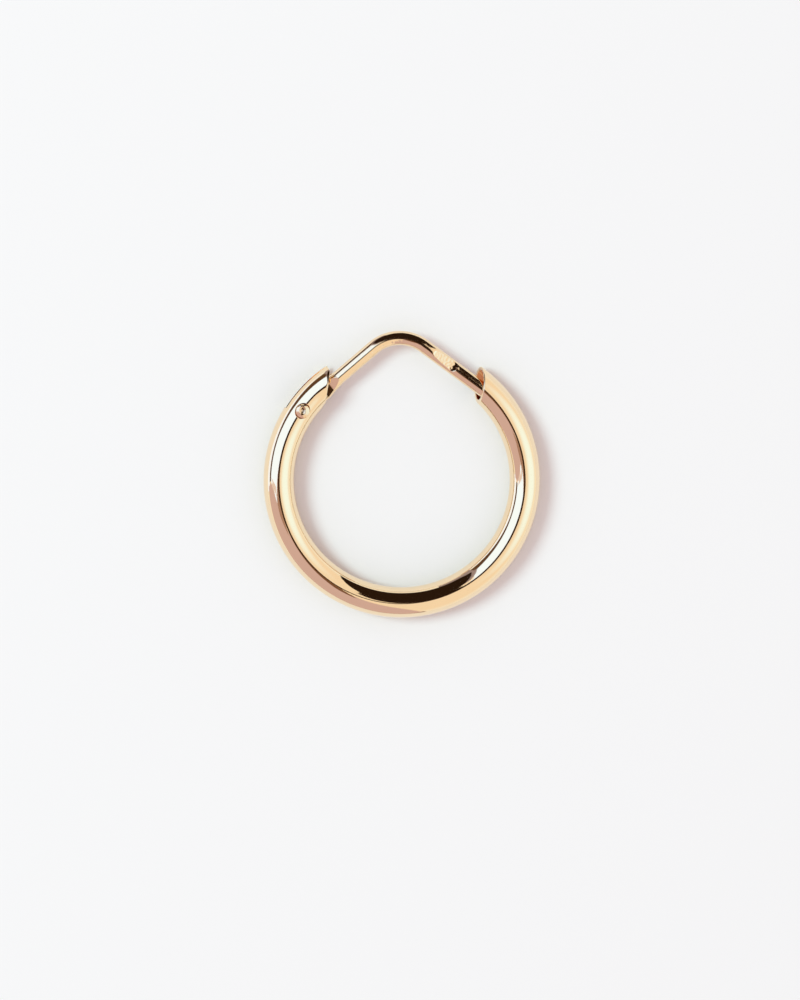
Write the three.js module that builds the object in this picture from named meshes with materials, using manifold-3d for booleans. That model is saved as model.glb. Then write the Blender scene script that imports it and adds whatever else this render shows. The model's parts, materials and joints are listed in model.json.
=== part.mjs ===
// Hinged hoop earring lying on its side: a hollow tube hoop, an ear wire and the rivet that it turns on.
// Millimetres. +Z is up, along the hoop's axis, and +Y points from the hoop's middle to the ear wire's peak.
// Inside hoopFrame the hoop's axis is x = 0, y = 0. The group then centres the earring's box on the origin.

import * as THREE from 'three';
import { ConvexGeometry } from 'three/addons/geometries/ConvexGeometry.js';
import { mergeVertices } from 'three/addons/utils/BufferGeometryUtils.js';
import Module from 'manifold-3d';

const wasm = await Module();
wasm.setup();

// Hoop: a round tube bent to a ring
const hoopRadius = 8.0; // from the hoop's axis to the middle of the tube
const tubeRadius = 1.0;
const wallThickness = 0.25;
const tubeSides = 24;
const boreSides = 16;
const hoopSteps = 72;

// Open mouth that takes the wire's free end: a saw cut, leaning in plan and sloping up
const mouthCut = { x: 5.12, y: 6.07, leanDeg: 7.0, slope: 0.24 };

// Hinge end: an upright saw cut, with its outer corner squared off across the tube
const hingeCut = { x: -4.78, y: 6.5, leanDeg: 7.4, slope: 0 };
const hingeCornerDeg = 123.1;

// Slot for the wire between the two cheeks, by angle round the hoop
const slotHeight = 1.0;
const slotOuterEndDeg = 147.6;
const slotInnerEndDeg = 136.0;
const slotOpenDeg = 118.0;

// Rivet: a barrel with a domed head on top and a flat peened end below
const pinAngleDeg = 144.4;
const pinPlaceRadius = 7.93;
const pinRadius = 0.3;
const pinClearance = 0.035;
const headRadius = 0.45;
const headSeatZ = 1.88;
const headRimZ = 1.98;
const headTopZ = 2.08;
const tailRadius = 0.42;
const tailBottomZ = 0.02;
const tailSeatZ = 0.12;
const seatClearance = 0.02;
const pinSides = 24;
const domeSteps = 4;

// Ear wire: two straight legs joined by a bend. The legs' lines meet at the corner point.
const wireRadius = 0.46;
const wireSides = 12;
const wireHeight = tubeRadius; // the wire lies at the tube's mid height
const corner = new THREE.Vector2(-0.275, 9.98);
const hingeLegDeg = 40.5;
const mouthLegDeg = -36.5;
const bendRadius = 2.6;
const wireSteps = 44;
const mouthLegLength = 6.9; // from the corner point to the tip
const tipLength = 0.34;
const tipShoulderRadius = 0.36;
const tipRadius = 0.18;

// Flattened tongue of the wire with the rivet's eye in it, by distance from the eye along the leg
const tongueThickness = 0.55;
const tongueHalfWidth = 0.62;
const tongueInnerEdge = { radius: 7.365, fromDeg: 141, toDeg: 136.5 }; // follows the tube's curve
const eyeOuterRadius = 0.55;
const tongueFlatEnd = 1.9;
const tongueRampEnd = 3.08;
const eyeSteps = 12;

// Joined lengths of the wire reach into each other a little
const joinDepth = 0.12;
const joinInset = 0.004;

// Cutters reach well past the earring
const farSize = 40;
const farBelowZ = -1;
const farAboveZ = 3;

const degrees = Math.PI / 180;
const mergeTolerance = 1e-5;

// Turns a closed geometry into a solid.
function solid(geometry) {
  const bare = geometry.clone();
  bare.deleteAttribute('normal');
  bare.deleteAttribute('uv');
  const merged = mergeVertices(bare, mergeTolerance);
  const mesh = new wasm.Mesh({
    numProp: 3,
    vertProperties: new Float32Array(merged.attributes.position.array),
    triVerts: new Uint32Array(merged.index.array),
  });
  return new wasm.Manifold(mesh);
}

// Turns a solid back into a geometry, for a mesh.
function geometryOf(body) {
  const mesh = body.getMesh();
  const geometry = new THREE.BufferGeometry();
  geometry.setAttribute('position', new THREE.BufferAttribute(mesh.vertProperties, 3));
  geometry.setIndex(new THREE.BufferAttribute(mesh.triVerts, 1));
  geometry.computeVertexNormals();
  return geometry;
}

function polar(radius, angleDeg) {
  const angle = angleDeg * degrees;
  return new THREE.Vector2(radius * Math.cos(angle), radius * Math.sin(angle));
}

function direction(angleDeg) {
  return polar(1, angleDeg);
}

// A full ring whose section is a polygon with a flat side at the top and at the bottom.
function ring(flatRadius, sides) {
  const cornerRadius = flatRadius / Math.cos(Math.PI / sides);
  const profile = [];
  for (let i = 0; i <= sides; i += 1) {
    const angle = ((i % sides) + 0.5) * ((2 * Math.PI) / sides);
    profile.push(new THREE.Vector2(
      hoopRadius + cornerRadius * Math.cos(angle),
      cornerRadius * Math.sin(angle),
    ));
  }
  const geometry = new THREE.LatheGeometry(profile, hoopSteps);
  geometry.rotateX(Math.PI / 2);
  geometry.translate(0, 0, tubeRadius);
  return solid(geometry);
}

// Everything on one side of an upright or sloping plane: side is +1 for greater x, -1 for smaller x.
function halfSpace(cut, side) {
  const geometry = new THREE.BoxGeometry(farSize, farSize, farSize);
  geometry.translate((side * farSize) / 2, 0, 0);
  geometry.rotateY(Math.atan(cut.slope));
  geometry.rotateZ(-cut.leanDeg * degrees);
  geometry.translate(cut.x, cut.y, tubeRadius);
  return solid(geometry);
}

// Everything clockwise of the hinge end's squared corner.
function cornerTrim() {
  const geometry = new THREE.BoxGeometry(farSize, farSize, farSize);
  geometry.translate(farSize / 2, -farSize / 2, 0);
  geometry.rotateZ(hingeCornerDeg * degrees);
  return solid(geometry);
}

// The stretch that is missing between the hinge end and the mouth.
function gap() {
  const upperHalf = solid(new THREE.BoxGeometry(farSize, farSize, farSize).translate(0, farSize / 2, 0));
  const pastHinge = halfSpace(hingeCut, 1).add(cornerTrim());
  return pastHinge.intersect(halfSpace(mouthCut, -1)).intersect(upperHalf);
}

// The slot: a flat plate at mid height. It cuts the inner wall only near the end, well short of the rivet.
function slot() {
  const outer = hoopRadius + 2 * tubeRadius;
  const inner = hoopRadius - 2 * tubeRadius;
  const boreOuter = hoopRadius + tubeRadius - wallThickness;
  const boreInner = hoopRadius - tubeRadius + wallThickness;
  const outline = new THREE.Shape([
    polar(outer, slotOpenDeg),
    polar(outer, slotOuterEndDeg),
    polar(boreOuter, slotOuterEndDeg),
    polar(boreInner, slotInnerEndDeg),
    polar(inner, slotInnerEndDeg),
    polar(inner, slotOpenDeg),
  ]);
  const geometry = new THREE.ExtrudeGeometry(outline, { depth: slotHeight, bevelEnabled: false });
  geometry.translate(0, 0, tubeRadius - slotHeight / 2);
  return solid(geometry);
}

const pinPlace = polar(pinPlaceRadius, pinAngleDeg);

// An upright cylinder on the hinge axis.
function hingeCylinder(radius, bottomZ, topZ) {
  const geometry = new THREE.CylinderGeometry(radius, radius, topZ - bottomZ, pinSides);
  geometry.rotateX(Math.PI / 2);
  geometry.translate(pinPlace.x, pinPlace.y, (bottomZ + topZ) / 2);
  return solid(geometry);
}

function hoopTube() {
  return ring(tubeRadius, tubeSides)
    .subtract(ring(tubeRadius - wallThickness, boreSides))
    .subtract(gap())
    .subtract(slot())
    .subtract(hingeCylinder(pinRadius + pinClearance, farBelowZ, farAboveZ))
    .subtract(hingeCylinder(headRadius + pinClearance, headSeatZ - seatClearance, farAboveZ))
    .subtract(hingeCylinder(tailRadius + pinClearance, farBelowZ, tailSeatZ + seatClearance));
}

function hingePin() {
  const profile = [
    new THREE.Vector2(0, tailBottomZ),
    new THREE.Vector2(tailRadius, tailBottomZ),
    new THREE.Vector2(tailRadius, tailSeatZ),
    new THREE.Vector2(pinRadius, tailSeatZ),
    new THREE.Vector2(pinRadius, headSeatZ),
    new THREE.Vector2(headRadius, headSeatZ),
  ];
  for (let i = 0; i <= domeSteps; i += 1) {
    const angle = (i / domeSteps) * (Math.PI / 2);
    const radius = i === domeSteps ? 0 : headRadius * Math.cos(angle);
    profile.push(new THREE.Vector2(radius, headRimZ + (headTopZ - headRimZ) * Math.sin(angle)));
  }
  const geometry = new THREE.LatheGeometry(profile, pinSides);
  geometry.rotateX(Math.PI / 2);
  geometry.translate(pinPlace.x, pinPlace.y, 0);
  return solid(geometry);
}

// The point of the hinge leg that lies a distance past the eye.
function legPoint(distance) {
  const hingeLeg = direction(hingeLegDeg);
  const eyeToCorner = corner.clone().sub(pinPlace).dot(hingeLeg);
  return corner.clone().addScaledVector(hingeLeg, distance - eyeToCorner);
}

// The point of the mouth leg that lies a distance past the corner point.
function mouthPoint(distance) {
  return corner.clone().addScaledVector(direction(mouthLegDeg), distance);
}

// The round wire's centreline: a straight leg, the bend, and a straight leg.
class WireRoute extends THREE.Curve {
  constructor(start, end) {
    super();
    const bendDeg = hingeLegDeg - mouthLegDeg;
    const bendLength = bendRadius * bendDeg * degrees;
    const tangentLength = bendRadius * Math.tan((bendDeg / 2) * degrees);
    this.start = start;
    this.end = end;
    this.bendStart = corner.clone().addScaledVector(direction(hingeLegDeg), -tangentLength);
    this.bendEnd = mouthPoint(tangentLength);
    this.centre = this.bendStart.clone().addScaledVector(direction(hingeLegDeg - 90), bendRadius);
    this.lengths = [start.distanceTo(this.bendStart), bendLength, this.bendEnd.distanceTo(end)];
  }

  getPoint(t) {
    const [first, bend, last] = this.lengths;
    const distance = t * (first + bend + last);
    if (distance < first) {
      return this.raised(this.start.clone().lerp(this.bendStart, distance / first));
    }
    if (distance < first + bend) {
      const turned = (distance - first) / bendRadius / degrees;
      return this.raised(this.centre.clone().add(polar(bendRadius, hingeLegDeg + 90 - turned)));
    }
    return this.raised(this.bendEnd.clone().lerp(this.end, (distance - first - bend) / last));
  }

  raised(place) {
    return new THREE.Vector3(place.x, place.y, wireHeight);
  }
}

function roundWire() {
  const outline = [];
  for (let i = 0; i < wireSides; i += 1) {
    outline.push(polar(wireRadius / Math.cos(Math.PI / wireSides), ((i + 0.5) * 360) / wireSides));
  }
  const route = new WireRoute(legPoint(tongueRampEnd), mouthPoint(mouthLegLength - tipLength));
  return solid(new THREE.ExtrudeGeometry(new THREE.Shape(outline), { steps: wireSteps, extrudePath: route }));
}

// Corners of an upright round section across a leg of the wire.
function roundSection(place, alongDeg, radius) {
  const across = direction(alongDeg + 90);
  const points = [];
  for (let i = 0; i < wireSides; i += 1) {
    const offset = polar(radius / Math.cos(Math.PI / wireSides), ((i + 0.5) * 360) / wireSides);
    const spot = place.clone().addScaledVector(across, offset.x);
    points.push(new THREE.Vector3(spot.x, spot.y, wireHeight + offset.y));
  }
  return points;
}

// Corners of an upright oblong section across the hinge leg.
function flatSection(place, halfWidth, halfHeight) {
  const across = direction(hingeLegDeg + 90);
  const points = [];
  for (const side of [-halfWidth, halfWidth]) {
    const spot = place.clone().addScaledVector(across, side);
    points.push(new THREE.Vector3(spot.x, spot.y, wireHeight - halfHeight));
    points.push(new THREE.Vector3(spot.x, spot.y, wireHeight + halfHeight));
  }
  return points;
}

// The free end's rounded tip, rooted inside the wire.
function wireTip() {
  const start = mouthLegLength - tipLength;
  return solid(new ConvexGeometry([
    ...roundSection(mouthPoint(start - joinDepth), mouthLegDeg, tipRadius),
    ...roundSection(mouthPoint(start), mouthLegDeg, wireRadius - joinInset),
    ...roundSection(mouthPoint(start + tipLength / 2), mouthLegDeg, tipShoulderRadius),
    ...roundSection(mouthPoint(mouthLegLength), mouthLegDeg, tipRadius),
  ]));
}

// The flat tongue: a plate from the eye's round end to the foot of the ramp.
function tonguePlate() {
  const across = direction(hingeLegDeg + 90);
  const outline = [];
  for (let i = 0; i <= eyeSteps; i += 1) {
    outline.push(pinPlace.clone().add(polar(eyeOuterRadius, hingeLegDeg + 90 + 180 * (i / eyeSteps))));
  }
  const foot = legPoint(tongueFlatEnd);
  outline.push(polar(tongueInnerEdge.radius, tongueInnerEdge.fromDeg));
  outline.push(polar(tongueInnerEdge.radius, tongueInnerEdge.toDeg));
  outline.push(foot.clone().addScaledVector(across, -tongueHalfWidth));
  outline.push(foot.clone().addScaledVector(across, tongueHalfWidth));
  const geometry = new THREE.ExtrudeGeometry(new THREE.Shape(outline), {
    depth: tongueThickness,
    bevelEnabled: false,
  });
  geometry.translate(0, 0, wireHeight - tongueThickness / 2);
  return solid(geometry);
}

// The ramp that joins the flat tongue to the round wire, rooted inside both.
function tongueRamp() {
  const halfThickness = tongueThickness / 2;
  return solid(new ConvexGeometry([
    ...flatSection(legPoint(tongueFlatEnd - joinDepth), tongueHalfWidth / 2, halfThickness / 2),
    ...flatSection(legPoint(tongueFlatEnd), tongueHalfWidth - joinInset, halfThickness - joinInset),
    ...roundSection(legPoint(tongueRampEnd), hingeLegDeg, wireRadius - joinInset),
    ...roundSection(legPoint(tongueRampEnd + joinDepth), hingeLegDeg, wireRadius / 2),
  ]));
}

function earWire() {
  return roundWire()
    .add(wireTip())
    .add(tongueRamp())
    .add(tonguePlate())
    .subtract(hingeCylinder(pinRadius + pinClearance, farBelowZ, farAboveZ));
}

function piece(name, body, color) {
  const material = new THREE.MeshStandardMaterial({ color, roughness: 0.12, metalness: 1 });
  const mesh = new THREE.Mesh(geometryOf(body), material);
  mesh.name = name;
  return mesh;
}

// The wire's peak stands past the hoop, so the box's middle lies above the hoop's axis in Y.
const cornerToPeak = bendRadius / Math.cos(((hingeLegDeg - mouthLegDeg) / 2) * degrees) - bendRadius;
const peakY = corner.y - cornerToPeak + wireRadius;
const hoopFrame = new THREE.Group();
hoopFrame.position.set(0, (hoopRadius + tubeRadius - peakY) / 2, 0);
hoopFrame.add(piece('hoop_tube', hoopTube(), 0xf2cf9f));
hoopFrame.add(piece('ear_wire', earWire(), 0xf0cb98));
hoopFrame.add(piece('hinge_pin', hingePin(), 0xe9c08c));

const earring = new THREE.Group();
earring.add(hoopFrame);

export default earring;
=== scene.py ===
"""Looks of a hinged hoop earring lying on its side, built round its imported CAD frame.

Shapes are made in millimetres in the hoop's own frame: the hoop's axis is x = 0, y = 0, and z = 0 is the
middle of the tube. A finished piece is moved to the row frame and to metres when it is placed.
"""

import json
import logging
from collections.abc import Callable
from dataclasses import dataclass, field
from enum import Enum
from math import acos, asin, atan2, ceil, copysign, cos, degrees, hypot, radians, sin, sqrt, tan, tau
from typing import NamedTuple

import bmesh
import bpy
from mathutils import Matrix, Vector, noise


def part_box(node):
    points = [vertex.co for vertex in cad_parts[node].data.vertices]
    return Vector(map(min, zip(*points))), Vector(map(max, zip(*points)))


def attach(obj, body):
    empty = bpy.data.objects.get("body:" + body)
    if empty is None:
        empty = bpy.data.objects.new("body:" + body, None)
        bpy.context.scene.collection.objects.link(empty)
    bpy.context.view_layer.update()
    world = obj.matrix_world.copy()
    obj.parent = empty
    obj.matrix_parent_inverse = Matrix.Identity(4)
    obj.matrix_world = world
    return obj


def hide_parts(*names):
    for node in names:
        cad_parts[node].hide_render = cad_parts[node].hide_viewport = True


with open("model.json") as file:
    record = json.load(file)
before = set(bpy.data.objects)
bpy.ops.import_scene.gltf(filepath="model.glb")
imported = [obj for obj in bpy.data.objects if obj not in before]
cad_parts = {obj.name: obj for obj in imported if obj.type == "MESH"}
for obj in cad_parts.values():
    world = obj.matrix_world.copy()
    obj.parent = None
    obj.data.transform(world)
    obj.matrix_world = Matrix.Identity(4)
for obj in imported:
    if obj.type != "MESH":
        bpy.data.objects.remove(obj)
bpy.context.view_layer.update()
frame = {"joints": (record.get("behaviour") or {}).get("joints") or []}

MM = 0.001
UP = Vector((0.0, 0.0, 1.0))
# the bore's attribute: where it is set, the tube's finish is rougher and is painted a darker orange, a
# painted shade for the inside of the tube
SHADED_UNPOLISHED_BORE = "unpolished_with_painted_shade"
Shape = bmesh.types.BMesh
Ring = list[bmesh.types.BMEdge]
Tree = bpy.types.NodeTree
Socket = bpy.types.NodeSocket
Material = bpy.types.Material
Colour = tuple[float, float, float]
Corners = tuple[tuple[float, float], ...]  # pairs: two angles, or a radius and a height
log = logging.getLogger("hoop_earring")


class Body(Enum):
    """The two rigid bodies of the earring."""

    HOOP = "hoop"
    WIRE = "wire"


class Slot(Enum):
    """The material slots that the record names."""

    TUBE = "polished_gold_tube"
    WIRE = "polished_gold_wire"
    RIVET = "polished_gold_rivet"


def polar(radius: float, angle_deg: float, z: float = 0.0) -> Vector:
    """The point at a radius and an angle round the Z axis."""
    angle = radians(angle_deg)
    return Vector((radius * cos(angle), radius * sin(angle), z))


def blend_between(value: float, low: float, high: float) -> float:
    """How far value lies from low to high, from 0 to 1, with a smooth start and end."""
    share = min(1.0, max(0.0, (value - low) / (high - low)))
    return share * share * (3.0 - 2.0 * share)


@dataclass(frozen=True)
class HoopFrame:
    """Where the hoop lies in the row frame, in metres, read from the CAD nodes."""

    origin: Vector

    @classmethod
    def from_cad(cls) -> "HoopFrame":
        """Reads the hoop's place from its CAD node."""
        low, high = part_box("hoop_tube")
        return cls(Vector(((low.x + high.x) / 2, low.y + (high.x - low.x) / 2, (low.z + high.z) / 2)))

    def to_row(self) -> Matrix:
        """The transform from the hoop's frame in millimetres to the row frame in metres."""
        return Matrix.Translation(self.origin) @ Matrix.Scale(MM, 4)

    def from_row(self, point: Vector) -> Vector:
        """A row frame point in the hoop's frame, in millimetres."""
        return (point - self.origin) / MM


# ---------------- node groups and finishes


class Wiring:
    """Adds nodes to a node tree and joins them."""

    def __init__(self, tree: Tree) -> None:
        """Starts on a node tree."""
        self.tree = tree

    def feed(self, node: bpy.types.Node, inputs: dict[str | int, object]) -> None:
        """Fills a node's inputs.

        Args:
            node: The node.
            inputs: By input, the output that it is joined to, or else its value.
        """
        for name, value in inputs.items():
            if isinstance(value, Socket):
                self.tree.links.new(value, node.inputs[name])
            else:
                node.inputs[name].default_value = value

    def node(self, kind: str, inputs: dict[str | int, object], **settings: object) -> bpy.types.Node:
        """Adds a node.

        Args:
            kind: The node's type, after "ShaderNode".
            inputs: By input, the output that it is joined to, or else its value.
            settings: Properties to set on it.

        Returns:
            The node.
        """
        made = self.tree.nodes.new("ShaderNode" + kind)
        for name, value in settings.items():
            setattr(made, name, value)
        self.feed(made, inputs)
        return made

    def mix(self, factor: object, first: object, second: object) -> Socket:
        """The output of a node that mixes two colours."""
        inputs = {"Factor": factor, "A": first, "B": second}
        return self.node("Mix", inputs, data_type="RGBA").outputs["Result"]

    def between(self, share: object, low: object, high: object) -> Socket:
        """The output of a node that goes from one number to another."""
        inputs = {"Value": share, "To Min": low, "To Max": high}
        return self.node("MapRange", inputs).outputs["Result"]


class GroupMaker(Wiring):
    """Builds a shader node group that has a Vector input and one output."""

    def __init__(self, name: str, inputs: dict[str, float], output: str) -> None:
        """Starts a group.

        Args:
            name: The group's name.
            inputs: Its other inputs, with their default values.
            output: Its output.
        """
        super().__init__(bpy.data.node_groups.new(name, "ShaderNodeTree"))
        self.source = self.tree.nodes.new("NodeGroupInput")
        self.sink = self.tree.nodes.new("NodeGroupOutput")
        face = self.tree.interface
        face.new_socket(name="Vector", in_out="INPUT", socket_type="NodeSocketVector")
        for label, value in inputs.items():
            made = face.new_socket(name=label, in_out="INPUT", socket_type="NodeSocketFloat")
            made.default_value = value
        face.new_socket(name=output, in_out="OUTPUT", socket_type="NodeSocketFloat")

    def given(self, name: str) -> Socket:
        """The socket inside the group that carries one of its inputs."""
        return self.source.outputs[name]


def make_ripple_group() -> Tree:
    """Faint waves that buffing leaves on polished metal.

    Returns:
        The node group, with a Height from 0 to 1.
    """
    maker = GroupMaker("polish_ripple", {"Scale": 3000.0, "Detail": 2.0}, "Height")
    taken = {name: maker.given(name) for name in ("Vector", "Scale", "Detail")}
    waves = maker.node("TexNoise", {**taken, "Roughness": 0.55})
    maker.feed(maker.sink, {"Height": waves.outputs["Fac"]})
    return maker.tree


def make_handling_group() -> Tree:
    """Faint smears and hairlines from handling.

    Returns:
        The node group, with a Mask from 0 to 1.
    """
    maker = GroupMaker("handling_marks", {"Smear Scale": 900.0, "Hairline Scale": 5200.0}, "Mask")
    place = maker.given("Vector")
    smear = maker.node("TexNoise", {"Vector": place, "Scale": maker.given("Smear Scale"), "Detail": 3.0})
    cells = {"Vector": place, "Scale": maker.given("Hairline Scale")}
    hair = maker.node("TexVoronoi", cells, feature="DISTANCE_TO_EDGE")
    fade = {"Value": hair.outputs["Distance"], "From Max": 0.035, "To Min": 0.6, "To Max": 0.0}
    thin = maker.node("MapRange", fade)
    parts = {0: smear.outputs["Fac"], 1: smear.outputs["Fac"], 2: thin.outputs["Result"]}
    total = maker.node("Math", parts, operation="MULTIPLY_ADD", use_clamp=True)
    maker.feed(maker.sink, {"Mask": total.outputs["Value"]})
    return maker.tree


@dataclass(frozen=True)
class GoldFinish:
    """A mirror polished gold plating."""

    name: str
    colour: Colour
    worn_colour: Colour
    roughness: float
    worn_roughness: float
    ripple_scale: float
    ripple_height: float
    lacquer: float = 0.6
    lacquer_roughness: float = 0.03
    # painted shade: a darker orange for the bore, standing in for the shade and gold-on-gold reflections
    # inside the tube; the rougher bore is real
    bore_painted_shade_colour: Colour | None = None
    raw_roughness: float = 0.3

    def material(self, ripple: Tree, handling: Tree) -> Material:
        """Builds the finish as a material.

        Args:
            ripple: The group of polishing waves.
            handling: The group of smears and hairlines.

        Returns:
            The material.
        """
        made = bpy.data.materials.new(self.name)
        made.use_nodes = True
        wiring = Wiring(made.node_tree)
        place = wiring.node("TexCoord", {}).outputs["Object"]
        marks = wiring.node("Group", {}, node_tree=handling)
        waves = wiring.node("Group", {}, node_tree=ripple)
        wiring.feed(marks, {"Vector": place})
        wiring.feed(waves, {"Vector": place, "Scale": self.ripple_scale})
        mask = marks.outputs["Mask"]
        colour = wiring.mix(mask, (*self.colour, 1.0), (*self.worn_colour, 1.0))
        roughness = wiring.between(mask, self.roughness, self.worn_roughness)
        # painted shade in the bore: the darker orange colour is mixed in, along with the rougher unpolished
        # roughness
        if self.bore_painted_shade_colour is not None:
            inside = wiring.node("Attribute", {}, attribute_name=SHADED_UNPOLISHED_BORE).outputs["Fac"]
            colour = wiring.mix(inside, colour, (*self.bore_painted_shade_colour, 1.0))
            roughness = wiring.between(inside, roughness, self.raw_roughness)
        height = {"Strength": 1.0, "Distance": self.ripple_height, "Height": waves.outputs["Height"]}
        surface = {
            "Base Color": colour,
            "Metallic": 1.0,
            "Roughness": roughness,
            "Normal": wiring.node("Bump", height).outputs["Normal"],
            "Coat Weight": self.lacquer,
            "Coat Roughness": self.lacquer_roughness,
        }
        wiring.feed(made.node_tree.nodes["Principled BSDF"], surface)
        return made


TUBE_GOLD = GoldFinish(
    name="tube_gold",
    colour=(0.95, 0.75, 0.49),
    worn_colour=(0.93, 0.72, 0.46),
    roughness=0.035,
    worn_roughness=0.06,
    ripple_scale=2600.0,
    ripple_height=0.0000004,
    # painted shade colour for the inside of the tube
    bore_painted_shade_colour=(0.80, 0.36, 0.13),
)
WIRE_GOLD = GoldFinish(
    name="wire_gold",
    colour=(0.94, 0.72, 0.46),
    worn_colour=(0.92, 0.69, 0.43),
    roughness=0.05,
    worn_roughness=0.09,
    ripple_scale=4200.0,
    ripple_height=0.0000006,
)
RIVET_GOLD = GoldFinish(
    name="rivet_gold",
    colour=(0.92, 0.69, 0.44),
    worn_colour=(0.88, 0.63, 0.38),
    roughness=0.08,
    worn_roughness=0.16,
    ripple_scale=5200.0,
    ripple_height=0.0000016,
)


# ---------------- making pieces


NormalRule = Callable[[Vector], Vector | None]


@dataclass(frozen=True)
class PieceMaker:
    """Turns bmesh shapes into finished pieces on the frame."""

    hoop: HoopFrame
    crease_deg: float = 12.0
    wall_deg: float = 50.0

    def finish(
        self,
        name: str,
        shape: Shape,
        body: Body,
        node: str,
        slot: Slot,
        material: Material,
        rule: NormalRule | None = None,
    ) -> None:
        """Places a shape as a piece that stands for a CAD node.

        Args:
            name: The piece's name.
            shape: The shape, in the hoop's frame in millimetres. It is freed.
            body: The body that the piece rides on.
            node: The CAD node that it stands for.
            slot: The record's slot for the piece's finish; not used.
            material: Its finish.
            rule: The exact surface normal at a point, where there is one.
        """
        piece = self.to_object(name, shape)
        mesh = piece.data
        mesh.shade_smooth()
        if rule is None:
            mesh.set_sharp_from_angle(angle=radians(self.crease_deg))
        else:
            self.set_normals(mesh, rule)
        mesh.transform(self.hoop.to_row())
        mesh.materials.append(material)
        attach(piece, body.value)
        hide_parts(node)
        log.info("%s: %d faces, rides on %s", name, len(mesh.polygons), body.value)

    @staticmethod
    def to_object(name: str, shape: Shape) -> bpy.types.Object:
        """Makes an object of a shape, and frees the shape.

        Args:
            name: The object's name.
            shape: The shape.

        Returns:
            The object.
        """
        mesh = bpy.data.meshes.new(name)
        shape.to_mesh(mesh)
        shape.free()
        made = bpy.data.objects.new(name, mesh)
        bpy.context.scene.collection.objects.link(made)
        return made

    def set_normals(self, mesh: bpy.types.Mesh, rule: NormalRule) -> None:
        """Gives each corner the exact normal of the surface that it lies on.

        Args:
            mesh: The mesh, in the hoop's frame.
            rule: The exact normal at a point, or None off the ruled surfaces.
        """
        limit = cos(radians(self.wall_deg))
        exact = [rule(vertex.co) for vertex in mesh.vertices]
        smooth = [vertex.normal.copy() for vertex in mesh.vertices]
        normals = []
        for face in mesh.polygons:
            flat = face.normal
            for corner in face.vertices:
                wanted = exact[corner] or smooth[corner]
                normals.append(wanted if wanted.dot(flat) > limit else flat.copy())
        mesh.normals_split_custom_set(normals)

    @classmethod
    def cut(cls, shape: Shape, cutter: Shape) -> Shape:
        """Cuts one closed shape out of another.

        Args:
            shape: The shape to cut. It is freed.
            cutter: The shape to cut out. It is freed.

        Returns:
            The cut shape.
        """
        body = cls.to_object("uncut", shape)
        tool = cls.to_object("cutter", cutter)
        change = body.modifiers.new("cut", "BOOLEAN")
        change.operation = "DIFFERENCE"
        change.solver = "EXACT"
        change.object = tool
        graph = bpy.context.evaluated_depsgraph_get()
        left = bmesh.new()
        left.from_object(body, graph)
        for spare in (body, tool):
            mesh = spare.data
            bpy.data.objects.remove(spare)
            bpy.data.meshes.remove(mesh)
        return left


SAME_PLACE = 1e-5


def turned(profile: list[tuple[float, float]], steps: int, centre: Vector) -> Shape:
    """Turns an outline of (radius, height) points round an upright axis.

    Args:
        profile: The outline, from the axis at the bottom to the axis at the top.
        steps: How many steps make the full turn.
        centre: A point of the axis.

    Returns:
        The closed shape.
    """
    shape = bmesh.new()
    points = [shape.verts.new((radius, 0.0, z)) for radius, z in profile]
    edges = [shape.edges.new(pair) for pair in zip(points, points[1:])]
    bmesh.ops.spin(
        shape, geom=points + edges, cent=(0, 0, 0), axis=UP, angle=tau, steps=steps, use_merge=True
    )
    bmesh.ops.remove_doubles(shape, verts=shape.verts[:], dist=SAME_PLACE)
    bmesh.ops.recalc_face_normals(shape, faces=shape.faces[:])
    bmesh.ops.translate(shape, vec=centre, verts=shape.verts[:])
    return shape


# ---------------- the hoop


@dataclass(frozen=True)
class EndCut:
    """A saw cut through the tube, leaning in plan and sloping up."""

    x: float
    y: float
    lean_deg: float
    slope: float

    def azimuth(self, radius: float, height: float) -> float:
        """Where the cut crosses a line round the hoop.

        Args:
            radius: The line's distance from the hoop's axis.
            height: The line's height above the tube's middle.

        Returns:
            The angle round the hoop, in degrees.
        """
        lean = radians(self.lean_deg)
        reach = self.x * cos(lean) - self.y * sin(lean) + self.slope * height
        return degrees(acos(reach / radius)) - self.lean_deg


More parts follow.
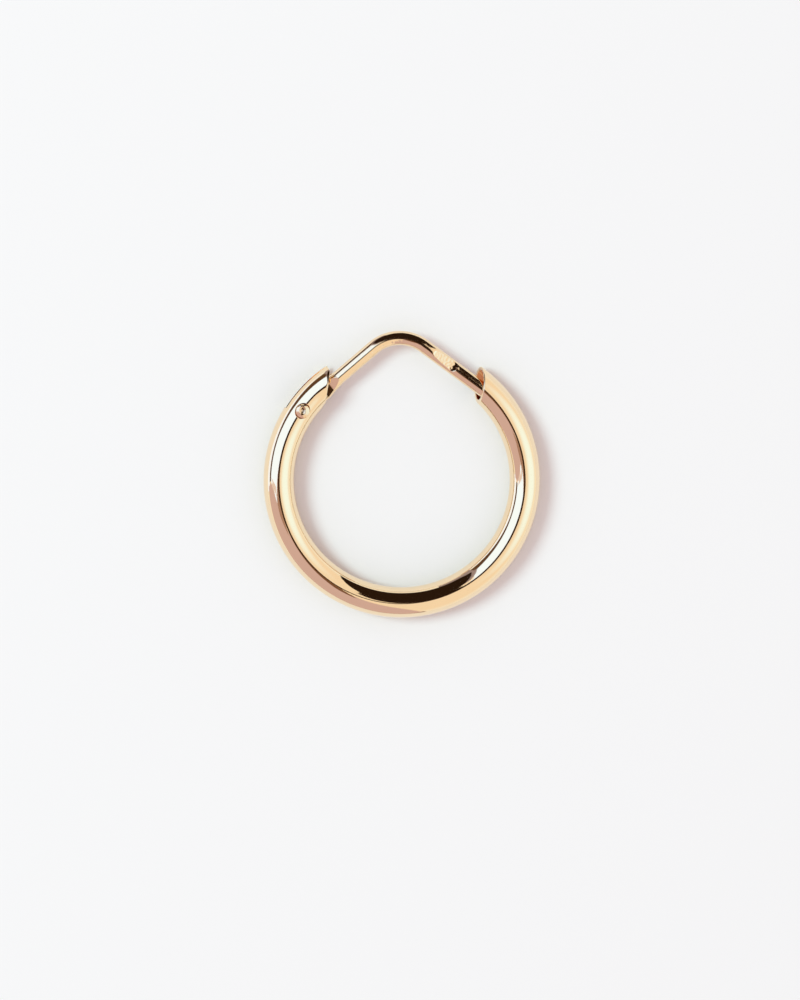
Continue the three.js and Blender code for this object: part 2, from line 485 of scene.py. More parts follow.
@dataclass
class HoopTube:
    """The hollow tube hoop, with its open mouth and the slotted end that holds the wire."""

    maker: PieceMaker
    rivet_place: Vector
    hoop_radius: float = 8.0
    tube_radius: float = 1.0
    wall: float = 0.2
    sides: int = 120
    step_deg: float = 1.3
    mouth: EndCut = EndCut(4.98, 6.07, 7.0, 0.24)
    hinge: EndCut = EndCut(-4.78, 6.5, 7.4, 0.0)
    corner_deg: float = 123.1
    falloff_deg: float = 19.0
    slot_half_sides: int = 9
    slot_outer_steps: int = 16
    slot_inner_steps: int = 2
    slot_floor_deg: float = 52.0
    tip_flare: float = 0.045
    sharp_deg: float = 35.0
    edge_round: float = 0.03
    edge_segments: int = 2
    lip_round: float = 0.06
    lip_segments: int = 4
    head_seat: float = 0.485
    head_seat_height: float = 0.86
    tail_seat: float = 0.455
    head_chamfer: float = 0.07
    barrel_hole: float = 0.335
    hole_steps: int = 64
    beyond_skin: float = 0.01
    skin_depth: float = 0.0015

    def __post_init__(self) -> None:
        """Works out the angles that the sizes give."""
        self.side_deg = 360.0 / self.sides
        self.start_deg = self.hinge.azimuth(self.hoop_radius, 0.0)
        self.end_deg = self.mouth.azimuth(self.hoop_radius, 0.0) + 360.0
        self.steps = round((self.end_deg - self.start_deg) / self.step_deg)
        self.bore_radius = self.tube_radius - self.wall

    def build(self, material: Material) -> None:
        """Makes the hoop.

        Args:
            material: The tube's finish.
        """
        shape = self.skin()
        self.open_slot(shape)
        bmesh.ops.solidify(shape, geom=shape.faces[:], thickness=self.wall)
        self.trim_ends(shape)
        self.soften_edges(shape)
        shape = self.maker.cut(shape, self.rivet_hole())
        self.mark_bore(shape)
        self.maker.finish(
            "hoop_tube_polished", shape, Body.HOOP, "hoop_tube", Slot.TUBE, material, self.surface_normal
        )

    def skin(self) -> Shape:
        """The tube's outer skin, as an open sheet.

        Returns:
            The skin.
        """
        shape = bmesh.new()
        bmesh.ops.create_circle(shape, cap_ends=False, segments=self.sides, radius=self.tube_radius)
        stand = Matrix.Rotation(radians(90.0), 4, "X")
        out = Matrix.Translation((self.hoop_radius, 0.0, 0.0))
        turn = Matrix.Rotation(radians(self.start_deg), 4, "Z")
        bmesh.ops.transform(shape, matrix=turn @ out @ stand, verts=shape.verts[:])
        sweep = radians(self.end_deg - self.start_deg)
        ring = shape.verts[:] + shape.edges[:]
        bmesh.ops.spin(shape, geom=ring, cent=(0, 0, 0), axis=UP, angle=sweep, steps=self.steps)
        bmesh.ops.recalc_face_normals(shape, faces=shape.faces[:])
        return shape

    def section_place(self, point: Vector) -> tuple[float, float, float]:
        """A point as it lies in the tube.

        Args:
            point: The point, in the hoop's frame.

        Returns:
            Its distance from the tube's middle, its angle round the tube in degrees, and its angle
            round the hoop in degrees, from the hinge end on.
        """
        out = hypot(point.x, point.y) - self.hoop_radius
        azimuth = degrees(atan2(point.y, point.x)) % 360.0
        if azimuth < 90.0:
            azimuth += 360.0
        return hypot(out, point.z), degrees(atan2(point.z, out)), azimuth

    def open_slot(self, shape: Shape) -> None:
        """Takes out the skin where the slot for the wire is.

        Args:
            shape: The tube's skin.
        """
        half = self.slot_half_sides * self.side_deg
        outer_end = self.start_deg + self.slot_outer_steps * self.step_deg
        inner_end = self.start_deg + self.slot_inner_steps * self.step_deg
        gone = []
        for face in shape.faces:
            _, around, azimuth = self.section_place(face.calc_center_median())
            outside = abs(around) < half and azimuth < outer_end
            inside = abs(around) > 180.0 - half and azimuth < inner_end
            if outside or inside:
                gone.append(face)
        bmesh.ops.delete(shape, geom=gone, context="FACES")

    def bore_angle(self, around: float) -> float:
        """Shifts a bore line so that the slot's upper wall comes out level and its floor slopes inwards.

        Args:
            around: The line's angle round the tube, in degrees.

        Returns:
            The shifted angle.
        """
        half = self.slot_half_sides * self.side_deg
        level = degrees(asin(sin(radians(half)) * self.tube_radius / self.bore_radius))
        if around < 0.0:
            level = self.slot_floor_deg
        from_side = abs(around) if abs(around) <= 90.0 else 180.0 - abs(around)
        if from_side <= half:
            moved = from_side * level / half
        else:
            moved = level + (from_side - half) * (90.0 - level) / (90.0 - half)
        return copysign(moved if abs(around) <= 90.0 else 180.0 - moved, around)

    def trim_ends(self, shape: Shape) -> None:
        """Slides the walls along the tube so that its ends lie in their cuts.

        Args:
            shape: The tube's walls.
        """
        middle = self.hoop_radius
        for vertex in shape.verts:
            depth, around, azimuth = self.section_place(vertex.co)
            is_bore = depth < (self.tube_radius + self.bore_radius) / 2
            depth = self.bore_radius if is_bore else self.tube_radius
            around = self.bore_angle(around) if is_bore else around
            radius = middle + depth * cos(radians(around))
            height = depth * sin(radians(around))
            hinge_end = max(self.hinge.azimuth(radius, height), self.corner_deg)
            mouth_end = self.mouth.azimuth(radius, height) + 360.0
            near_hinge = max(0.0, 1.0 - (azimuth - self.start_deg) / self.falloff_deg)
            near_mouth = max(0.0, 1.0 - (self.end_deg - azimuth) / self.falloff_deg)
            azimuth += (hinge_end - self.start_deg) * near_hinge + (mouth_end - self.end_deg) * near_mouth
            flare = self.tip_flare * max(0.0, 2.0 * near_hinge - 1.0) ** 2
            vertex.co = polar(radius, azimuth, height + flare * max(0.0, height))

    def soften_edges(self, shape: Shape) -> None:
        """Rounds the sawn edges, and the mouth's lip more than the rest.

        Args:
            shape: The tube's walls.
        """
        shape.normal_update()
        lip, others = [], []
        for edge in shape.edges:
            if edge.calc_face_angle(0.0) < radians(self.sharp_deg):
                continue
            _, _, azimuth = self.section_place(edge.verts[0].co)
            (lip if azimuth > 360.0 else others).append(edge)
        rounds = (
            (lip, self.lip_round, self.lip_segments),
            (others, self.edge_round, self.edge_segments),
        )
        for edges, size, segments in rounds:
            bmesh.ops.bevel(
                shape, geom=edges, offset=size, offset_type="OFFSET", segments=segments,
                profile=0.5, affect="EDGES", clamp_overlap=True, material=-1,
            )

    def mark_bore(self, shape: Shape) -> None:
        """Marks the bore, which no polishing wheel reaches: the finish makes it rougher and paints it a
        darker orange, a painted shade.

        Args:
            shape: The finished walls.
        """
        layer = shape.verts.layers.float.new(SHADED_UNPOLISHED_BORE)
        for vertex in shape.verts:
            depth, _, _ = self.section_place(vertex.co)
            vertex[layer] = 1.0 if depth < self.bore_radius + self.beyond_skin else 0.0

    def rivet_hole(self) -> Shape:
        """The hole for the rivet, with the seats for its head and its tail.

        Returns:
            The shape to cut out.
        """
        beyond = 2.0 * self.tube_radius
        rim = self.tube_radius + self.beyond_skin
        seat = self.head_seat_height
        profile = [
            (0.0, -beyond),
            (self.tail_seat, -beyond),
            (self.tail_seat, -seat),
            (self.barrel_hole, -seat),
            (self.barrel_hole, seat),
            (self.head_seat, seat),
            (self.head_seat, self.tube_radius - self.head_chamfer),
            (self.head_seat + self.head_chamfer, rim),
            (self.head_seat + self.head_chamfer, beyond),
            (0.0, beyond),
        ]
        centre = Vector((self.rivet_place.x, self.rivet_place.y, 0.0))
        return turned(profile, self.hole_steps, centre)

    def surface_normal(self, point: Vector) -> Vector | None:
        """The exact normal of the tube's skin and of its bore.

        Args:
            point: A point of the mesh.

        Returns:
            The normal, or None off both surfaces.
        """
        depth, around, azimuth = self.section_place(point)
        out = polar(cos(radians(around)), azimuth, sin(radians(around)))
        if abs(depth - self.tube_radius) < self.skin_depth:
            return out
        if abs(depth - self.bore_radius) < self.skin_depth:
            return -out
        return None


# ---------------- the ear wire


class Station(NamedTuple):
    """A section of the wire's flattened end, by its distance past the rivet."""

    along: float
    outward: float
    inward: float
    half_thickness: float


@dataclass(frozen=True)
class StampMark:
    """A worn stamp on the wire: a flat pressed across it, with a beaten floor."""

    along: float
    half_length: float
    across: float
    half_width: float
    grain: float
    depth: float
    dip: float
    reach: float = 1.4
    off: float = 9.0
    end_power: int = 8

    def floor(self, along: float, across: float, half_width: float, half_height: float) -> float:
        """The height of the stamp's floor at a place on the wire.

        Args:
            along: The place's distance along the wire.
            across: Its distance outwards from the wire's middle.
            half_width: Half the wire's width.
            half_height: Half the wire's height.

        Returns:
            The height above the wire's middle, or a great height off the stamp.
        """
        share = (along - self.along) / self.half_length
        if abs(share) > self.reach:
            return self.off
        low, high = self.across - self.half_width, self.across + self.half_width
        z_low = half_height * sqrt(1.0 - (low / half_width) ** 2)
        z_high = half_height * sqrt(1.0 - (high / half_width) ** 2)
        chord = z_low + (z_high - z_low) * (across - low) / (high - low)
        sagitta = half_height - (z_low + z_high) / 2
        beaten = noise.noise(Vector((along, across, 0.0)) / self.grain)
        sloped = self.dip * self.half_length * share
        return chord - sloped + sagitta * share**self.end_power + self.depth * beaten


@dataclass
class EarWire:
    """The ear wire: a flattened tongue on the rivet, two straight legs and the bend between them.

    It is made with its first leg along +X from the rivet, with +Y outwards, and then turned into place.
    """

    maker: PieceMaker
    rivet_place: Vector
    wire_radius: float = 0.46
    flatness: float = 0.82
    sides: int = 120
    corner: Vector = field(default_factory=lambda: Vector((-0.275, 9.977, 0.0)))
    hinge_leg_deg: float = 40.5
    mouth_leg_deg: float = -36.5
    bend_radius: float = 2.6
    mouth_leg_length: float = 7.4
    tip_length: float = 0.3
    kinks: tuple[tuple[float, float, float], ...] = (
        (1.9, 0.3, 0.02),
        (7.86, 1.75, 0.02),
        (10.4, 0.45, -0.07),
        (12.0, 0.45, 0.10),
    )
    eye_radius: float = 0.55
    eye_hole: float = 0.335
    ramp_start: float = 3.08
    flat_half_sides: int = 11
    fine_step: float = 0.042
    stations: tuple[Station, ...] = (
        Station(0.0, 0.48, 0.62, 0.275),
        Station(0.6, 0.6, 0.52, 0.275),
        Station(1.22, 0.6, 0.44, 0.275),
        Station(1.34, 0.6, 0.61, 0.275),
        Station(1.9, 0.62, 0.63, 0.275),
        Station(2.45, 0.56, 0.53, 0.32),
        Station(3.06, 0.47, 0.475, 0.45),
        Station(3.08, 0.46, 0.46, 0.46),
    )
    stamp: StampMark = StampMark(
        along=11.2, half_length=0.95, across=0.07, half_width=0.27, grain=0.13, depth=0.009, dip=0.05
    )
    beaten_from: float = 5.0
    beaten_to: float = 9.3
    beaten_grain: float = 0.13
    beaten_depth: float = 0.02
    beaten_fade: float = 0.3
    beaten_rise: tuple[float, float] = (-0.42, -0.34)
    beaten_fall: tuple[float, float] = (-0.2, -0.1)
    beaten_stretch: float = 0.7
    beaten_layer: float = 3.0
    beaten_more: float = 0.1
    drawn: tuple[float, float] = (1.0, 2.4)
    top_from: float = 0.1
    tip_steps: int = 16
    eye_gap: float = 0.01
    eye_steps: int = 14
    hole_steps: int = 64

    def __post_init__(self) -> None:
        """Works out the places that the sizes give."""
        leg = polar(1.0, self.hinge_leg_deg)
        across = polar(1.0, self.hinge_leg_deg + 90.0)
        to_corner = self.corner - self.rivet_place
        self.corner_along = to_corner.dot(leg)
        self.eye_across = -to_corner.dot(across)
        self.bend_deg = self.hinge_leg_deg - self.mouth_leg_deg
        self.tangent = self.bend_radius * tan(radians(self.bend_deg / 2))
        self.bend_start = self.corner_along - self.tangent

    def build(self, material: Material) -> None:
        """Makes the wire.

        Args:
            material: The wire's finish.
        """
        shape = self.sweep()
        self.forge_tongue(shape)
        self.dress_surface(shape)
        eye = Vector((0.0, self.eye_across, 0.0))
        outline = [(0.0, -1.0), (self.eye_hole, -1.0), (self.eye_hole, 1.0), (0.0, 1.0)]
        shape = self.maker.cut(shape, turned(outline, self.hole_steps, eye))
        turn = Matrix.Rotation(radians(self.hinge_leg_deg), 4, "Z")
        start = self.corner - polar(self.corner_along, self.hinge_leg_deg)
        bmesh.ops.transform(shape, matrix=Matrix.Translation(start) @ turn, verts=shape.verts[:])
        self.maker.finish("ear_wire_polished", shape, Body.WIRE, "ear_wire", Slot.WIRE, material)

    def sweep(self) -> Shape:
        """The plain round wire from the eye's end to the rounded tip.

        Returns:
            The closed shape.
        """
        shape = bmesh.new()
        bmesh.ops.create_circle(shape, cap_ends=True, segments=self.sides, radius=self.wire_radius)
        stand = Matrix.Rotation(radians(90.0), 4, "Z") @ Matrix.Rotation(radians(90.0), 4, "X")
        start = Matrix.Translation((-self.eye_radius + self.eye_gap, 0.0, 0.0))
        bmesh.ops.transform(shape, matrix=start @ stand, verts=shape.verts[:])
        ring = self.run_straight(shape, shape.edges[:], 0.0, self.eye_radius - self.eye_gap, self.eye_steps)
        previous = 0.0
        for station in self.stations[1:]:
            steps = max(1, ceil((station.along - previous) / (2.0 * self.fine_step)))
            ring = self.run_straight(shape, ring, 0.0, station.along - previous, steps)
            previous = station.along
        length = self.bend_start - self.ramp_start
        ring = self.run_straight(shape, ring, 0.0, length, ceil(length / self.fine_step))
        turn_steps = ceil(radians(self.bend_deg) * self.bend_radius / self.fine_step)
        middle = (self.bend_start, -self.bend_radius, 0.0)
        ring = self.run_on(shape, ring, turn_steps, cent=middle, angle=-radians(self.bend_deg))
        length = self.mouth_leg_length - self.tangent - self.tip_length
        ring = self.run_straight(shape, ring, -self.bend_deg, length, ceil(length / self.fine_step))
        self.close_tip(shape, ring)
        bmesh.ops.recalc_face_normals(shape, faces=shape.faces[:])
        return shape

    @staticmethod
    def points_of(ring: Ring) -> list[bmesh.types.BMVert]:
        """A ring's vertices, each once, in an order that is the same in every run."""
        return list(dict.fromkeys(vertex for edge in ring for vertex in edge.verts))

    def run_on(self, shape: Shape, ring: Ring, steps: int, **way: object) -> Ring:
        """Runs the wire on from its last ring.

        Args:
            shape: The wire so far.
            ring: The edges of its last ring.
            steps: How many steps to take.
            way: Where it goes, as the spin operator takes it.

        Returns:
            The edges of the new last ring.
        """
        geometry = self.points_of(ring) + ring
        result = bmesh.ops.spin(shape, geom=geometry, axis=UP, steps=steps, **way)
        return [item for item in result["geom_last"] if isinstance(item, bmesh.types.BMEdge)]

    def run_straight(self, shape: Shape, ring: Ring, along_deg: float, length: float, steps: int) -> Ring:
        """Runs the wire on in a straight line.

        Args:
            shape: The wire so far.
            ring: The edges of its last ring.
            along_deg: The direction to run in.
            length: How far to run.
            steps: How many steps to take.

        Returns:
            The edges of the new last ring.
        """
        step = polar(length / steps, along_deg)
        return self.run_on(shape, ring, steps, cent=(0, 0, 0), dvec=step, angle=0.0)

    def close_tip(self, shape: Shape, ring: Ring) -> None:
        """Rounds off the wire's free end.

        Args:
            shape: The wire so far.
            ring: The edges of its last ring.
        """
        size = 1.0
        for step in range(1, self.tip_steps + 1):
            turn = radians(90.0 * step / (self.tip_steps + 0.5))
            before = radians(90.0 * (step - 1) / (self.tip_steps + 0.5))
            advance = self.tip_length * (sin(turn) - sin(before))
            ring = self.run_straight(shape, ring, -self.bend_deg, advance, 1)
            wanted = cos(turn)
            points = self.points_of(ring)
            middle = sum((point.co for point in points), Vector()) / len(points)
            for point in points:
                point.co = middle + (point.co - middle) * (wanted / size)
            size = wanted
        bmesh.ops.contextual_create(shape, geom=ring)

    def station_at(self, along: float) -> Station:
        """The flattened end's section at a distance past the rivet.

        Args:
            along: The distance.

        Returns:
            The section, between the stations on either side.
        """
        if along <= 0.0:
            share = sqrt(max(0.0, 1.0 - (along / self.eye_radius) ** 2))
            half = self.eye_radius * share
            thickness = self.stations[0].half_thickness
            return Station(along, half + self.eye_across, half - self.eye_across, thickness)
        for before, after in zip(self.stations, self.stations[1:]):
            if along <= after.along:
                share = (along - before.along) / (after.along - before.along)
                mixed = [a + (b - a) * share for a, b in zip(before, after)]
                return Station(*mixed)
        return self.stations[-1]

    def forge_tongue(self, shape: Shape) -> None:
        """Flattens the wire's hinge end into the ramp and the tongue.

        Args:
            shape: The plain wire.
        """
        nominal = self.flat_half_sides * 360.0 / self.sides
        for vertex in shape.verts:
            if vertex.co.x > self.ramp_start - 1e-4 or vertex.co.y < -2.0 * self.wire_radius:
                continue
            station = self.station_at(vertex.co.x)
            angle = degrees(atan2(vertex.co.z, vertex.co.y))
            flat = degrees(acos(min(1.0, station.half_thickness / self.wire_radius)))
            angle = self.spread_angle(angle, nominal, flat)
            across = cos(radians(angle))
            half = station.outward if across > 0 else station.inward
            limit = station.half_thickness
            height = min(limit, max(-limit, self.wire_radius * sin(radians(angle))))
            vertex.co.y = across * half
            vertex.co.z = height

    @staticmethod
    def spread_angle(angle: float, nominal: float, flat: float) -> float:
        """Moves a section's corner so that the flats end on an edge of the mesh.

        Args:
            angle: The corner's angle, with 90 at the top.
            nominal: Half the flat's angle as the mesh has it.
            flat: Half the flat's angle as it has to be.

        Returns:
            The moved angle.
        """
        side = 1.0 if angle >= 0 else -1.0
        from_top = abs(angle) - 90.0
        reach = abs(from_top)
        if reach <= nominal:
            moved = reach * flat / nominal
        else:
            moved = flat + (reach - nominal) * (90.0 - flat) / (90.0 - nominal)
        return side * (90.0 + copysign(moved, from_top))

    def wire_place(self, point: Vector) -> tuple[float, float]:
        """A point's distance along the wire's middle line, and how far it lies outwards of that line.

        Args:
            point: The point, with the first leg along +X from the eye.

        Returns:
            The two distances.
        """
        from_bend = point - Vector((self.bend_start, -self.bend_radius, 0.0))
        turn = 90.0 - degrees(atan2(from_bend.y, from_bend.x))
        if point.x <= self.bend_start or turn <= 0.0:
            return point.x, point.y
        arc = radians(self.bend_deg) * self.bend_radius
        if turn < self.bend_deg:
            return (
                self.bend_start + radians(turn) * self.bend_radius,
                from_bend.xy.length - self.bend_radius,
            )
        along, out = polar(1.0, -self.bend_deg), polar(1.0, 90.0 - self.bend_deg)
        return self.bend_start + arc + from_bend.dot(along), from_bend.dot(out) - self.bend_radius

    def lift(self, along: float) -> float:
        """How far the wire has sprung up from the hoop's middle.

        Args:
            along: The distance along the wire.

        Returns:
            The lift.
        """
        rise = 0.0
        for place, soft, slope in self.kinks:
            past = along - place
            rise += slope * (past if past > soft else max(0.0, past + soft) ** 2 / (4.0 * soft))
        return rise

    def dress_surface(self, shape: Shape) -> None:
        """Draws the wire a little flat, stamps and beats it, and lets it spring from the level.

        Args:
            shape: The wire with its tongue.
        """
        half_height = self.wire_radius * self.flatness
        for vertex in shape.verts:
            along, across = self.wire_place(vertex.co)
            height = vertex.co.z
            height *= 1.0 - (1.0 - self.flatness) * blend_between(along, *self.drawn)
            if height > self.top_from:
                floor = self.stamp.floor(along, across, self.wire_radius, half_height)
                height = min(height, floor) - self.beaten(along, across)
            vertex.co.z = height + self.lift(along)

    def beaten(self, along: float, across: float) -> float:
        """How deep the small worn dents are along the inside of the first leg and the bend.

        Args:
            along: The distance along the wire.
            across: The distance outwards from its middle.

        Returns:
            The depth.
        """
        ends = blend_between(along, self.beaten_from, self.beaten_from + self.beaten_fade)
        ends *= 1.0 - blend_between(along, self.beaten_to - self.beaten_fade, self.beaten_to)
        band = blend_between(across, *self.beaten_rise) * (1.0 - blend_between(across, *self.beaten_fall))
        if ends * band == 0.0:
            return 0.0
        place = Vector((along, across * self.beaten_stretch, self.beaten_layer))
        dent = noise.noise(place / self.beaten_grain)
        return self.beaten_depth * ends * band * max(0.0, dent + self.beaten_more)


# ---------------- the rivet


@dataclass
class HingeRivet:
    """The rivet that the wire turns on: a barrel, a low hand-set head and a flat peened tail."""

    maker: PieceMaker
    place: Vector
    barrel_radius: float = 0.3
    seat: float = 0.88
    tail_radius: float = 0.42
    tail_end: float = 0.98
    tail_round: float = 0.03
    head_profile: Corners = (
        (0.45, 0.88), (0.45, 0.962), (0.443, 0.982), (0.42, 0.997), (0.36, 1.018), (0.29, 1.041),
        (0.24, 1.055), (0.215, 1.06), (0.195, 1.059), (0.18, 1.053), (0.16, 1.049), (0.09, 1.047),
        (0.055, 1.045), (0.04, 1.037), (0.02, 1.034), (0.0, 1.034),
    )
    core_radius: float = 0.2
    core_stretch: float = 0.35
    core_shift: tuple[float, float] = (-0.015, 0.035)
    turn_steps: int = 96

    def build(self, material: Material) -> None:
        """Makes the rivet.

        Args:
            material: The rivet's finish.
        """
        tail = [
            (0.0, -self.tail_end),
            (self.tail_radius - self.tail_round, -self.tail_end),
            (self.tail_radius, -self.tail_end + self.tail_round),
            (self.tail_radius, -self.seat),
            (self.barrel_radius, -self.seat),
            (self.barrel_radius, self.seat),
        ]
        shape = turned(tail + list(self.head_profile), self.turn_steps, Vector())
        self.set_core(shape)
        bmesh.ops.translate(shape, vec=(self.place.x, self.place.y, 0.0), verts=shape.verts[:])
        self.maker.finish("hinge_rivet_domed", shape, Body.HOOP, "hinge_pin", Slot.RIVET, material)

    def set_core(self, shape: Shape) -> None:
        """Draws the head's worn core out into an oval, a little off the middle.

        Args:
            shape: The rivet, on the Z axis.
        """
        rim = self.head_profile[0][0]
        for vertex in shape.verts:
            if vertex.co.z <= self.seat:
                continue
            share = 1.0 - blend_between(vertex.co.xy.length, self.core_radius, rim)
            vertex.co.x += self.core_shift[0] * share
            vertex.co.y += self.core_shift[1] * share + vertex.co.y * self.core_stretch * share


# ---------------- studio and camera


def glow(name: str, colour: Colour) -> Material:
    """A plain glowing card.

    Args:
        name: The material's name.
        colour: Its colour.

    Returns:
        The material.
    """
    made = bpy.data.materials.new(name)
    made.use_nodes = True
    nodes = made.node_tree.nodes
    nodes.remove(nodes["Principled BSDF"])
    wiring = Wiring(made.node_tree)
    light = wiring.node("Emission", {"Color": (*colour, 1.0), "Strength": 1.0})
    wiring.feed(nodes["Material Output"], {"Surface": light.outputs["Emission"]})
    made.cycles.emission_sampling = "NONE"
    return made


def heading(from_top_deg: float, azimuth_deg: float) -> Vector:
    """The direction at an angle from straight up, towards an azimuth."""
    tilt = radians(from_top_deg)
    return polar(sin(tilt), azimuth_deg, cos(tilt))


ROUND_CORNERS = 24


def round_corners(from_top_deg: float, azimuth_deg: float, radius_deg: float) -> Corners:
    """The corners of a round card.

    Args:
        from_top_deg: Its middle's angle from straight up.
        azimuth_deg: The azimuth of its middle.
        radius_deg: Its radius, as an angle.

    Returns:
        Its corners, each as an angle from straight up and an azimuth.
    """
    axis = heading(from_top_deg, azimuth_deg)
    spoke = axis.orthogonal().normalized() * tan(radians(radius_deg))
    corners = []
    for step in range(ROUND_CORNERS):
        turn = Matrix.Rotation(tau * step / ROUND_CORNERS, 3, axis)
        corner = (axis + turn @ spoke).normalized()
        corners.append((degrees(acos(corner.z)), degrees(atan2(corner.y, corner.x))))
    return tuple(corners)


@dataclass(frozen=True)
class Card:
    """A card round the earring that only its polish sees: a flag, a soft box or a reflector."""

    name: str
    distance: float
    colour: Colour
    corners: Corners

    def build(self, centre: Vector) -> None:
        """Makes the card.

        Args:
            centre: The point that its corners are seen from.
        """
        shape = bmesh.new()
        for from_top_deg, azimuth_deg in self.corners:
            shape.verts.new(centre + heading(from_top_deg, azimuth_deg) * self.distance)
        bmesh.ops.contextual_create(shape, geom=shape.verts[:])
        card = PieceMaker.to_object(self.name, shape)
        card.data.materials.append(glow(self.name, self.colour))
        for ray in ("camera", "diffuse", "shadow", "transmission"):
            setattr(card, "visible_" + ray, False)


CARDS = (
    Card(
        "black_flag", 0.2, (0.022, 0.011, 0.006),
        (
            (4.0, 285.0), (11.0, 42.0), (25.0, 57.0), (40.0, 56.0), (50.0, 53.6), (60.0, 51.2),
            (81.0, 50.3), (81.0, 88.0), (76.0, 110.0), (73.0, 121.0), (60.0, 128.5), (40.0, 128.0),
            (26.0, 124.0), (10.0, 120.0),
        ),
    ),
    Card("crest_spot", 0.21, (0.05, 0.025, 0.012), round_corners(5.5, 237.0, 6.6)),
    Card(
        "crest_tail", 0.22, (0.2, 0.1, 0.06),
        (
            (8.0, 285.0), (14.0, 264.0), (27.0, 259.0), (27.0, 250.0), (14.0, 235.0), (8.0, 235.0),
        ),
    ),
    Card(
        "grey_gap", 0.24, (0.34, 0.29, 0.34),
        (
            (12.0, 119.0), (70.0, 108.0), (88.0, 108.0), (88.0, 128.0), (62.0, 130.0), (52.0, 132.5),
            (30.0, 131.0), (14.0, 128.0),
        ),
    ),
    Card(
        "soft_box", 0.3, (1.0, 1.3, 1.84),
        (
            (3.0, 140.0), (30.0, 130.0), (52.0, 132.0), (57.0, 142.0), (60.0, 152.0), (61.5, 165.0),
            (61.0, 186.0), (48.0, 191.0), (37.0, 197.0), (26.0, 204.0), (10.0, 206.0),
        ),
    ),
    Card(
        "soft_box_frame", 0.28, (0.12, 0.065, 0.035),
        (
            (61.0, 186.0), (61.5, 165.0), (60.0, 152.0), (57.0, 142.0), (52.0, 132.0), (58.0, 125.0),
            (80.0, 124.0), (80.0, 140.0), (76.0, 152.0), (72.0, 165.0), (72.0, 186.0),
        ),
    ),
    Card(
        "white_wall", 0.32, (1.02, 1.22, 1.65),
        (
            (72.0, 190.0), (72.0, 165.0), (76.0, 152.0), (80.0, 140.0), (80.0, 124.0), (89.0, 124.0),
            (89.0, 190.0),
        ),
    ),
    Card(
        "brown_edge", 0.25, (0.42, 0.27, 0.23),
        (
            (6.0, 215.0), (13.0, 202.0), (27.0, 202.5), (29.0, 210.0), (22.0, 223.0), (8.0, 245.0),
        ),
    ),
    Card(
        "soft_box_hem", 0.27, (0.83, 0.75, 0.81),
        (
            (24.0, 197.0), (24.0, 204.0), (37.0, 199.0), (48.0, 193.0), (62.0, 187.5), (62.0, 184.0),
            (48.0, 188.0), (37.0, 193.0),
        ),
    ),
    Card(
        "tan_reflector", 0.26, (0.664, 0.508, 0.562),
        (
            (14.0, 205.0), (28.0, 203.0), (37.0, 198.0), (48.0, 192.0), (62.0, 186.5), (80.0, 188.0),
            (84.0, 205.0), (89.5, 222.0), (89.5, 281.0), (45.0, 273.0), (16.0, 258.0),
        ),
    ),
    Card(
        "tan_hem", 0.25, (0.36, 0.24, 0.22),
        (
            (80.0, 222.0), (80.0, 281.0), (89.5, 282.0), (89.5, 222.0),
        ),
    ),
)


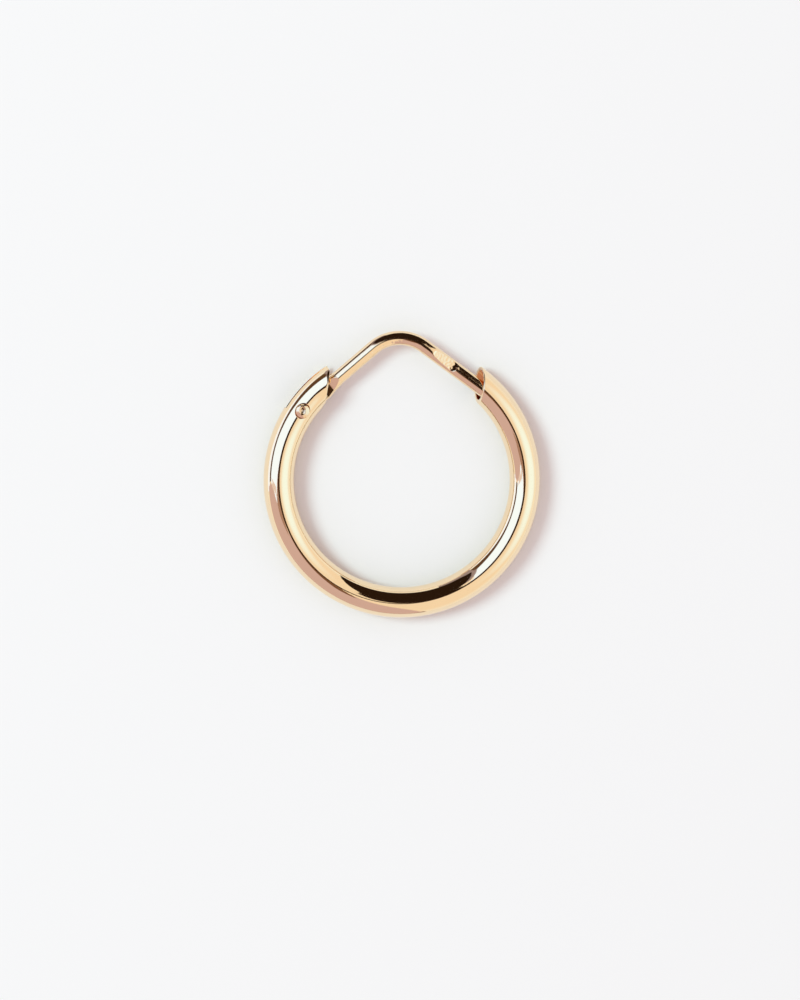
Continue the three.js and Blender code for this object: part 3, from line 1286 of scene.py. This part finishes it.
@dataclass
class Studio:
    """A pale table under soft light, with the cards that the polish reflects."""

    centre: Vector
    table_size: float = 3.0
    table_colour: Colour = (0.90, 0.90, 0.90)
    table_roughness: float = 0.9
    table_squares: int = 8
    room_colour: Colour = (0.765, 0.655, 0.665)
    sky_colour: Colour = (0.97, 0.87, 0.75)
    window_colour: Colour = (1.0, 1.26, 1.46)
    window_from_top: float = 47.0
    window_azimuth: float = 354.0
    window_edge: tuple[float, float] = (0.80, 1.0)
    horizon_colour: Colour = (0.97, 0.98, 0.95)
    horizon_edge: tuple[float, float] = (0.40, 0.12)
    key_azimuth: float = 160.0
    key_from_top: float = 40.0
    key_distance: float = 1.2
    key_size: float = 0.48
    key_colour: Colour = (0.64, 0.91, 0.905)
    key_power: float = 8.0
    cards: tuple[Card, ...] = CARDS

    def build(self) -> None:
        """Makes the table, the room's light, the key light and the cards."""
        self.make_table()
        self.make_room()
        self.make_key()
        for card in self.cards:
            card.build(self.centre)

    def make_table(self) -> None:
        """Makes the plain pale table that the earring lies on."""
        shape = bmesh.new()
        squares = self.table_squares
        bmesh.ops.create_grid(shape, x_segments=squares, y_segments=squares, size=self.table_size / 2)
        table = PieceMaker.to_object("table", shape)
        made = bpy.data.materials.new("table_paint")
        made.use_nodes = True
        paint = {
            "Base Color": (*self.table_colour, 1.0),
            "Roughness": self.table_roughness,
            "Specular IOR Level": 0.0,
        }
        Wiring(made.node_tree).feed(made.node_tree.nodes["Principled BSDF"], paint)
        table.data.materials.append(made)

    def make_room(self) -> None:
        """Makes the room: one tone for the table's light, and a cream sky for the polish to reflect."""
        world = bpy.data.worlds.new("studio_room")
        bpy.context.scene.world = world
        world.use_nodes = True
        wiring, nodes = Wiring(world.node_tree), world.node_tree.nodes
        room = nodes["Background"]
        wiring.feed(room, {"Color": (*self.room_colour, 1.0)})
        place = wiring.node("TexCoord", {}).outputs["Generated"]
        toward = heading(self.window_from_top, self.window_azimuth)
        aim = wiring.node("VectorMath", {0: place, 1: toward}, operation="DOT_PRODUCT")
        height = wiring.node("SeparateXYZ", {"Vector": place})
        tone = (*self.sky_colour, 1.0)
        glows = (
            (aim.outputs["Value"], self.window_edge, self.window_colour),
            (height.outputs["Z"], self.horizon_edge, self.horizon_colour),
        )
        for measure, (low, high), colour in glows:
            rise = {"Value": measure, "From Min": low, "From Max": high}
            soft = wiring.node("MapRange", rise, interpolation_type="SMOOTHSTEP")
            tone = wiring.mix(soft.outputs["Result"], tone, (*colour, 1.0))
        seen = wiring.node("Background", {"Color": tone})
        path = wiring.node("LightPath", {})
        ways = {
            "Fac": path.outputs["Is Glossy Ray"],
            1: room.outputs["Background"],
            2: seen.outputs["Background"],
        }
        mix = wiring.node("MixShader", ways)
        wiring.feed(nodes["World Output"], {"Surface": mix.outputs["Shader"]})

    def make_key(self) -> None:
        """Makes the soft light from the upper left."""
        data = bpy.data.lights.new("key_light", "AREA")
        data.shape = "DISK"
        data.size = self.key_size
        data.energy = self.key_power
        data.color = self.key_colour
        lamp = bpy.data.objects.new("key_light", data)
        toward = heading(self.key_from_top, self.key_azimuth)
        lamp.location = self.centre + toward * self.key_distance
        lamp.rotation_mode = "QUATERNION"
        lamp.rotation_quaternion = toward.to_track_quat("Z", "Y")
        lamp.visible_camera = False
        lamp.visible_glossy = False
        bpy.context.scene.collection.objects.link(lamp)


@dataclass(frozen=True)
class TableCamera:
    """A camera that looks down at the table, a little from beyond the ear wire."""

    target: Vector
    tilt_deg: float = 7.0
    toward_deg: float = 114.0
    lens: float = 100.0
    sensor: float = 36.0
    view_height: float = 0.065
    mirror_bounces: int = 12
    nearest: float = 0.01
    furthest: float = 10.0

    def build(self) -> None:
        """Makes the camera and the plain colour handling of its picture."""
        data = bpy.data.cameras.new("table_camera")
        data.lens = self.lens
        data.sensor_width = self.sensor
        data.clip_start = self.nearest
        data.clip_end = self.furthest
        camera = bpy.data.objects.new("table_camera", data)
        back = heading(self.tilt_deg, self.toward_deg)
        right = Vector((0.0, 1.0, 0.0)).cross(back).normalized()
        up = back.cross(right)
        turn = Matrix((right, up, back)).transposed().to_4x4()
        distance = self.view_height * self.lens / self.sensor
        camera.matrix_world = Matrix.Translation(self.target + back * distance) @ turn
        scene = bpy.context.scene
        scene.collection.objects.link(camera)
        scene.camera = camera
        scene.view_settings.view_transform = "Standard"
        scene.cycles.glossy_bounces = self.mirror_bounces


# ---------------- building the scene


AIM_PAST_MIDDLE = Vector((-0.135, -1.28, 0.0))


def main() -> None:
    """Builds the earring's pieces and the studio, in order."""
    logging.basicConfig(level=logging.INFO, format="%(name)s: %(message)s")
    hoop = HoopFrame.from_cad()
    maker = PieceMaker(hoop)
    hinge = Vector(frame["joints"][0]["pos_m"])
    rivet_place = hoop.from_row(hinge)
    ripple, handling = make_ripple_group(), make_handling_group()
    HoopTube(maker, rivet_place).build(TUBE_GOLD.material(ripple, handling))
    EarWire(maker, rivet_place).build(WIRE_GOLD.material(ripple, handling))
    HingeRivet(maker, rivet_place).build(RIVET_GOLD.material(ripple, handling))
    Studio(Vector((0.0, hoop.origin.y, 0.0))).build()
    TableCamera(hoop.origin + AIM_PAST_MIDDLE * MM).build()


if __name__ == "__main__":
    main()
